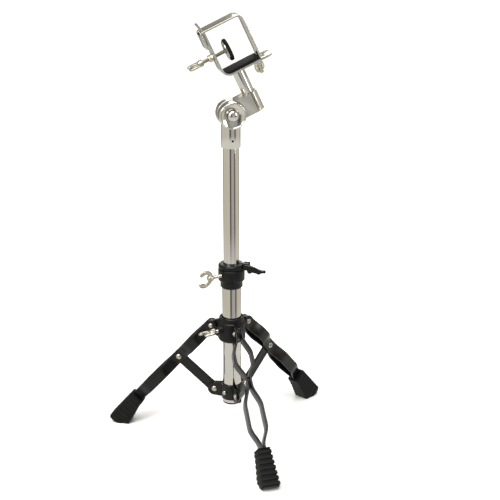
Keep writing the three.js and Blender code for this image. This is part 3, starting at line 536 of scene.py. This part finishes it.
def rounded_section(half_wide, half_thick, r, steps=4):
    """Corner points of a rounded rectangle, [wide, thick]."""
    r = min(r, half_wide * 0.98, half_thick * 0.98)
    x, y = half_wide - r, half_thick - r
    points = []
    for cx, cy, start in ((x, y, 0), (-x, y, 90), (-x, -y, 180), (x, -y, 270)):
        for k in range(steps + 1):
            a = math.radians(start + 90 * k / steps)
            points.append((cx + r * math.cos(a), cy + r * math.sin(a)))
    return points


def bowed_strip(side):
    """One strip of a leg: x along the leg, y across to its side, z square to the leg. Its top
    end is round, so the sections there are close together and grow to the full width."""
    round_end = strip_wide / 2
    spacing = 2.0
    places = [leg_top + step for step in (0.02, 0.4, 1.2, 2.6, 4.5, 7)]
    places += [leg_top + round_end + k * spacing
               for k in range(int((leg_end - leg_top - round_end) / spacing))] + [leg_end]
    rings = []
    for at in places:
        gap = eased_between(bow, at) + strip_thick / 2
        lean = math.atan(eased_between(bow, at + 0.5) - eased_between(bow, at - 0.5))
        half = round_end
        if at < leg_top + round_end:
            half = math.sqrt(max(0.04, half * half - (at - leg_top - half) ** 2))
        rings.append([(at - thick * math.sin(lean), side * (gap + thick * math.cos(lean)), wide)
                      for wide, thick in rounded_section(half, strip_thick / 2, edge_r)])
    return lofted(rings)


def leg_frame(leg):
    """Millimetres in a leg's own frame to the shared frame: x down the leg, y to its side."""
    pivot = Vector(joints[f"{leg}_leg_fold"]["pos_m"])
    outward = pivot - column_foot
    outward.z = 0
    outward.normalize()
    sideways = up.cross(outward)
    down = outward * math.cos(leg_slope) - up * math.sin(leg_slope)
    square = outward * math.sin(leg_slope) + up * math.cos(leg_slope)
    basis = Matrix((down, sideways, square)).transposed().to_4x4()
    return Matrix.Translation(pivot) @ basis @ to_metres


# ---------------------------------------------------------------------------- feet
# A moulded rubber shoe is pressed over the two strips' ends. Thick ribs run across its face and
# round its sides, and its sole is cut to stand flat on the floor.
shoe_start = 187
shoe_toe = 246.6
shoe_ribs = 7
plain_lip = 2.2
rib_length = (shoe_toe - shoe_start - 3) / shoe_ribs
sections_per_rib = (0.0, 0.10, 0.26, 0.44, 0.62, 0.78, 0.90)
face_corner_r = 2.6
sole_corner_r = 1.4
pivot_height = joints["front_leg_fold"]["pos_m"][2] / MM


def shoe():
    """The shoe in its leg's frame, lofted from sections across the leg that swell at each rib."""
    places = [shoe_start, shoe_start + 0.6, shoe_start + 1.6]
    for k in range(shoe_ribs):
        start = shoe_start + plain_lip + k * rib_length
        places += [start + rib_length * share for share in sections_per_rib]
    places += [shoe_toe - 0.9, shoe_toe - 0.3, shoe_toe]
    rings = []
    for at in places:
        along = (at - shoe_start) / (shoe_toe - shoe_start)
        phase = 0.5
        if at > shoe_start + plain_lip - 0.1:
            phase = ((at - shoe_start - plain_lip) / rib_length) % 1
        rib = 1.0 if 0.2 < phase < 0.85 else 0.0
        if at < shoe_start + 1 or at > shoe_toe - 0.5:
            rib = 0.35
        top = 10.4 + 1.9 * rib - 1.6 * along
        half_top = 9.0 + 3.8 * along + 1.5 * rib
        half_low = 10.2 + 3.4 * along + 1.0 * rib
        sole = -12.2 - 9.3 * min(1, max(0, (at - shoe_start) / 44.7)) ** 1.5
        floor_line = (at * math.sin(leg_slope) - pivot_height) / math.cos(leg_slope) + 0.02
        low = max(sole, floor_line)
        if at > shoe_toe - 1.0:
            low = max(low, -4.0)
        ring = []
        for half, level, r, side, rise, start in (
                (half_top, top, face_corner_r, 1, 1, 0), (half_top, top, face_corner_r, -1, 1, 90),
                (half_low, low, sole_corner_r, -1, -1, 180),
                (half_low, low, sole_corner_r, 1, -1, 270)):
            for k in range(5):
                a = math.radians(start + 90 * k / 4)
                ring.append((at, side * (half - r) + r * math.cos(a),
                             level - rise * r + r * math.sin(a)))
        rings.append(ring)
    return lofted(rings)


for leg in leg_names:
    place = leg_frame(leg)
    aside = (place.to_3x3() @ Vector((0, 1, 0))).normalized()
    outward = aside.cross(up)
    bracket_pivot = column_foot + outward * bracket_pivot_r * MM + up * bracket_pivot_z * MM
    for at, centre, grip, head_r, body in (
            ("collar", place @ Vector((0, 0, 0)), 12.6, 4.0, "leg_collar"),
            ("brace", place @ Vector((brace_rivet_at, 0, 0)), 9.6, 4.6, f"{leg}_leg"),
            ("bracket", bracket_pivot, 7.6, 4.6, "root")):
        rivet(f"{leg}_{at}_rivet_plated", centre, aside, grip, head_r, body,
              f"{leg}_{at}_rivet")
    for count, letter, side in (("one", "a", 1), ("two", "b", -1)):
        made(f"{leg}_leg_strip_{count}", bowed_strip(side), place, f"{leg}_leg",
             black_enamel, [f"{leg}_leg_strip_{letter}"], 50)
    made(f"{leg}_rubber_shoe", shoe(), place, f"{leg}_leg", rubber,
         [f"{leg}_foot"], 42)
    eased(f"{leg}_brace", f"{leg}_brace_strip", f"{leg}_brace_arm",
          black_enamel, 0.7)

# ---------------------------------------------------------------------------- mouldings
# The height clamp, the leg collar and the memory lock are black nylon, moulded smooth, and each
# clamp closes on a bush. A ring of grey acetal guides the upper tube and another lines the tilter.
# nylon straight from its mould has a soft sheen between the enamel's and the rubber's
nylon = moulded("moulded black nylon", "#040405", "#0d0e0f", 0.34, 0.5, 0.10, specular=0.24)
for node, body, edge, steps in (
        ("height_clamp_body", "root", 0.8, 3), ("height_clamp_bush", "root", 0.8, 3),
        ("leg_collar_bush", "leg_collar", 0.8, 3), ("memory_lock_ring", "memory_lock", 0.8, 3),
        ("memory_lock_lever", "lock_lever", 0.8, 3), ("leg_collar_body", "leg_collar", 0.45, 2)):
    eased(node, node + "_moulding", body, nylon, edge, steps)

# acetal is waxy and an even mid grey
grey_acetal = moulded("grey acetal", "#5b5c5e", "#6d6e70", 0.4, 0.6, 0.05)
for node, body in (("upper_tube_guide", "tube_guide"), ("tilter_friction_washer", "head")):
    eased(node, node + "_ring", body, grey_acetal, 0.2)

# ---------------------------------------------------------------------------- upper tube
# A 25 mm steel tube with a 1.5 mm wall, chromed like the lower one, which it slides in.
upper_tube_r = 12.5
upper_tube_wall = 1.5
low, high = top_and_bottom("upper_tube")
made("upper_tube_polished",
     turned(rounded_tube(upper_tube_r - upper_tube_wall, upper_tube_r, low, high)), at_column,
     "column", tube_chrome, ["upper_tube"])

# ---------------------------------------------------------------------------- tilter
# The tilter is two chromed castings on one bolt. The front one is a dish with a bright rim, cast
# in one with the socket that holds the upper tube, and the bolt's domed head fills the dish.
cast_chrome = plated("chromed casting", "#cbc8c0", 0.09, 16, 0.16)
hub = Vector(joints["tilter_tilt"]["pos_m"])
hub.y = column_foot.y
# lays a turned piece's axis along +Y, so that its outline reads [radius, depth towards the back]
facing_back = Matrix.Rotation(math.radians(-90), 4, "X")
at_hub = Matrix.Translation(hub) @ to_metres @ facing_back
front_face = -19.5
hub_r = 20.6
# the dish's bottom, its sloping floor, the raised rim, and the disc's flat back
dish = [(0, 5.6), (8.9, 5.6), (9.1, 4.2), (9.6, 3.7), (10.4, 3.5), (17.4, 1.3), (17.9, 0.9),
        (18.3, 0.25), (18.8, 0), (19.4, 0.1), (20.1, 0.6), (hub_r, 1.5)]
disc_back = [(hub_r, -2.5), (hub_r - 0.3, -1.9), (hub_r - 0.8, -1.7), (0, -1.7)]
disc = turned([(r, front_face + depth) for r, depth in dish] + disc_back, 128)
socket_r = 14.9
socket_bore_r = 12.6
socket_low = top_and_bottom("tilter_socket")[0]
neck_top = hub.z / MM - 12
socket = turned([(socket_bore_r, socket_low), (socket_r - 0.9, socket_low),
                 (socket_r - 0.3, socket_low + 0.3), (socket_r, socket_low + 1.0),
                 (socket_r, neck_top - 3), (socket_r - 0.8, neck_top - 0.8),
                 (socket_r - 2, neck_top), (socket_bore_r, neck_top)], 96)
disc_on_socket = moved(disc, Matrix.Translation((0, 0, hub.z / MM)) @ facing_back)
made("tilter_socket_casting", together(socket, disc_on_socket), at_column, "column",
     cast_chrome, ["tilter_socket"], 40)

# the arm is tumbled before plating, so it shines less than the disc
satin_chrome = plated("satin chromed casting", "#c2bfb6", 0.24, 16, 0.12, grain=0.1)
eased("tilter_arm", "tilter_arm_casting", "head", satin_chrome, 0.9)
dome_r = 8.8
dome_tall = 5.4
bolt_r = 3.9
bolt_end = (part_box("tilter_bolt")[1].y - column_foot.y) / MM
dome_steps = [math.radians(a) for a in range(10, 90, 10)]
dome = [(0, -23.7)] + [(dome_r * math.sin(a), front_face + 1.2 - dome_tall * math.cos(a))
                       for a in dome_steps]
dome += [(dome_r, front_face + 1.4), (dome_r, front_face + 4.9)]
bolt_shank = [(bolt_r, front_face + 5.0), (bolt_r, bolt_end - 1), (bolt_r - 0.8, bolt_end - 0.05),
              (0, bolt_end - 0.05)]
bolt = turned(dome + bolt_shank, 72)
made("tilter_domed_bolt", bolt, at_hub, "head", cast_chrome, ["tilter_bolt"], 50)
eased("head_post", "head_post_tube", "head", tube_chrome, 0.3)
# a pin holds the tube in the socket; its end, level with the neck, is a dull matte black disc that
# is painted shade for the dark hole the pin sits in
pin_level = sum(top_and_bottom("socket_pin")) / 2
pin_r = 1.8
at_pin = Matrix.Translation(column_foot + up * pin_level * MM) @ to_metres @ facing_back
pin_shade_disc = turned([(0, -15.02), (pin_r - 0.4, -15.02), (pin_r, -14.9), (pin_r, -13.2),
                  (0, -13.2)], 32)
# the matte black rubber on the pin's end is painted shade for its hole, not the pin's own colour
made("socket_pin_painted_shade", pin_shade_disc, at_pin, "column", rubber, ["socket_pin"])

# ---------------------------------------------------------------------------- clamp
# The clamp is bent from 3 mm steel strip and nickel plated: a frame on the post, and a gate hooked
# over it. A flat rubber pad and a rubber-faced plate on the pressure screw grip the drums' block.
nickel_sheet = plated("nickel plated strip", "#c3bfb2", 0.13, 12, 0.2)
for node in ("clamp_frame", "clamp_gate"):
    eased(node, node + "_bent_strip", "head", nickel_sheet, 1.0, 4)
for node in ("gate_stud", "tilter_washer", "pressure_nut"):
    eased(node, node + "_plated", "head", nickel_hardware, 0.3)
eased("pressure_plate", "pressure_plate_pressed", "pressure_head",
      nickel_sheet, 0.3)
# the pads are cut from sheet, duller and coarser than the moulded feet
pad_rubber = moulded("cut rubber sheet", "#040405", "#121213", 0.7, 1.1, 0.5, specular=0.2)
eased("clamp_pad", "clamp_pad_sheet", "head", pad_rubber, 0.4)
eased("pressure_pad", "pressure_pad_disc", "pressure_head", pad_rubber, 0.8)

# ---------------------------------------------------------------------------- wing screws and nuts
# Each is cast with two curled wings and nickel plated over the rough casting. The wings leave the
# hub, spread, and curl in at thick round tips. The screws have M6 threads.
cast_nickel = plated("nickel plated casting", "#b3aea1", 0.24, 4, 0.35, grain=0.45)
# along the screw, out from it, half the width in the wing's plane and half its thickness
wing_path = ((2.6, 2.4, 3.4, 2.2), (4.4, 5.8, 3.3, 2.1), (7.0, 8.8, 3.4, 2.1),
             (11.0, 10.9, 3.7, 2.1), (15.4, 11.1, 3.9, 2.2), (18.6, 10.0, 4.0, 2.4),
             (20.6, 8.6, 3.7, 2.4))
tip_cap = (0.35, 0.65, 0.85, 0.96, 0.998)
hub_of_wings_r = 5.2


def curve_through(points, steps):
    """Points of a smooth curve through the given ones, ends included."""
    out = []
    padded = [points[0], *points, points[-1]]
    for j in range(len(points) - 1):
        a, b, c, d = (Vector(v) for v in padded[j:j + 4])
        for k in range(steps):
            t = k / steps
            out.append(0.5 * ((2 * b) + (c - a) * t + (2 * a - 5 * b + 4 * c - d) * t * t
                              + (3 * b - a - 3 * c + d) * t ** 3))
    return out + [Vector(points[-1])]


def curled_wing(scale):
    """One wing: z along the screw, x out from it. A round cap closes its tip."""
    line = curve_through(wing_path, 4)
    stations = []
    for j, spot in enumerate(line):
        before, after = line[max(0, j - 1)], line[min(len(line) - 1, j + 1)]
        run = Vector((after.y - before.y, after.x - before.x)).normalized()
        stations.append((Vector((spot.y, spot.x)), Vector((run.y, -run.x)), spot.z, spot.w))
    tip, across, wide, thick = stations[-1]
    ahead = Vector((-across.y, across.x))
    stations += [(tip + ahead * wide * share, across, wide * math.sqrt(1 - share * share),
                  thick * math.sqrt(1 - share * share * 0.9)) for share in tip_cap]
    corners = 16
    rings = []
    for centre, across, wide, thick in stations:
        ring = []
        for k in range(corners):
            a = math.tau * k / corners
            flat = centre + across * wide * math.cos(a)
            lift = thick * abs(math.sin(a)) ** 0.8 * (1 if math.sin(a) > 0 else -1)
            ring.append((flat.x * scale, lift * scale, flat.y * scale))
        rings.append(ring)
    return lofted(rings)


def wing_head(scale, hub_length):
    """Hub and two wings from z = 0 outwards, as one set of closed skins."""
    r = hub_of_wings_r
    wing = curled_wing(scale)
    other = moved(wing, Matrix.Rotation(math.pi, 4, "Z"))
    boss = turned([(0, 0.02), (r - 0.6, 0.02), (r, 0.6), (r, hub_length - 3.4),
                   (r - 0.5, hub_length - 2), (r - 1.8, hub_length - 0.4),
                   (r - 2.6, hub_length), (0, hub_length)], 40)
    return together(boss, wing, other)


casting_voxel = 0.34


def fused(part, at):
    """Joins overlapping skins into one casting with soft inside corners."""
    mesh = bpy.data.meshes.new("casting")
    mesh.from_pydata(part[0], [], part[1])
    shape = bmesh.new()
    shape.from_mesh(mesh)
    bmesh.ops.recalc_face_normals(shape, faces=shape.faces)
    shape.to_mesh(mesh)
    shape.free()
    block = bpy.data.objects.new("casting", mesh)
    bpy.context.scene.collection.objects.link(block)
    remesh = block.modifiers.new("skin", "REMESH")
    remesh.mode = "VOXEL"
    remesh.voxel_size = casting_voxel
    soften = block.modifiers.new("soften", "SMOOTH")
    soften.factor = 0.5
    soften.iterations = 4
    graph = bpy.context.evaluated_depsgraph_get()
    result = bpy.data.meshes.new_from_object(block.evaluated_get(graph))
    bpy.data.objects.remove(block)
    result.transform(at)
    return result


def screw_frame(joint, start, roll, way=1):
    """Millimetres about a screw's axis to the shared frame: z outwards along the screw from the
    start, and the wings rolled by so many degrees from the upright."""
    along = Vector(joints[joint]["axis"]).normalized() * way
    flat = (up - along * up.dot(along)).normalized()
    side = flat.cross(along)
    basis = Matrix((flat, side, along)).transposed().to_4x4()
    rolled_by = Matrix.Rotation(math.radians(roll), 4, "Z")
    return Matrix.Translation(start) @ basis @ to_metres @ rolled_by


screw_r = 3
thread_pitch = 1.0
thread_deep = 0.5
into_hub = 3


def threaded(low):
    """A screw's shank from its tip into the hub, its M6 thread drawn as close ridges 1 mm apart."""
    outline = [(0, low), (screw_r - 0.8, low)]
    for k in range(int((into_hub - low - 1) / thread_pitch)):
        z = low + 0.6 + k * thread_pitch
        outline += [(screw_r - thread_deep, z), (screw_r, z + thread_pitch * 0.5)]
    return turned(outline + [(screw_r - thread_deep, into_hub), (0, into_hub)], 32)


def winged(name, scale, hub_length, place, body, node):
    """A cast head with two wings, riding on its own body."""
    shown(name, fused(wing_head(scale, hub_length), place), body, cast_nickel,
          [node], 60)


# the height clamp's and the leg collar's screws: the hub's face and the tip, out from the column
for clamp, face, tip, roll in (("height", 36, 15.4, 8), ("leg_collar", 33, 17.8, 78)):
    along = Vector(joints[f"{clamp}_wing_turn"]["axis"]).normalized()
    level = sum(top_and_bottom(f"{clamp}_wing_screw")) / 2
    start = column_foot + up * level * MM + along * face * MM
    place = screw_frame(f"{clamp}_wing_turn", start, roll)
    winged(f"{clamp}_wing_screw_cast", 1, 9, place, f"{clamp}_wing", f"{clamp}_wing_screw")
    made(f"{clamp}_wing_screw_cast_shank", threaded(tip - face), place, f"{clamp}_wing",
         nickel_hardware, [f"{clamp}_wing_screw"])

tilter_back = hub + Vector((0, 17.8 * MM, 0))
winged("tilter_wing_nut_cast", 1.05, 10, screw_frame("tilter_nut_turn", tilter_back, 55),
       "tilter_nut", "tilter_wing_nut")

gate_axis = Vector(joints["gate_nut_turn"]["axis"]).normalized()
under_plate = Vector(joints["gate_nut_turn"]["pos_m"]) - gate_axis * 7.5 * MM
winged("gate_wing_nut_cast", 0.72, 8, screw_frame("gate_nut_turn", under_plate, 40),
       "gate_nut", "gate_wing_nut")

press_axis = Vector(joints["pressure_screw_turn"]["axis"]).normalized()
press_face = Vector(joints["pressure_screw_turn"]["pos_m"]) + press_axis * 6 * MM
press_place = screw_frame("pressure_screw_turn", press_face, 90, -1)
press_tip = -35.2
winged("pressure_screw_cast", 1, 9, press_place, "pressure_screw", "pressure_screw")
made("pressure_screw_thread", threaded(press_tip), press_place, "pressure_screw",
     nickel_hardware, ["pressure_screw"])
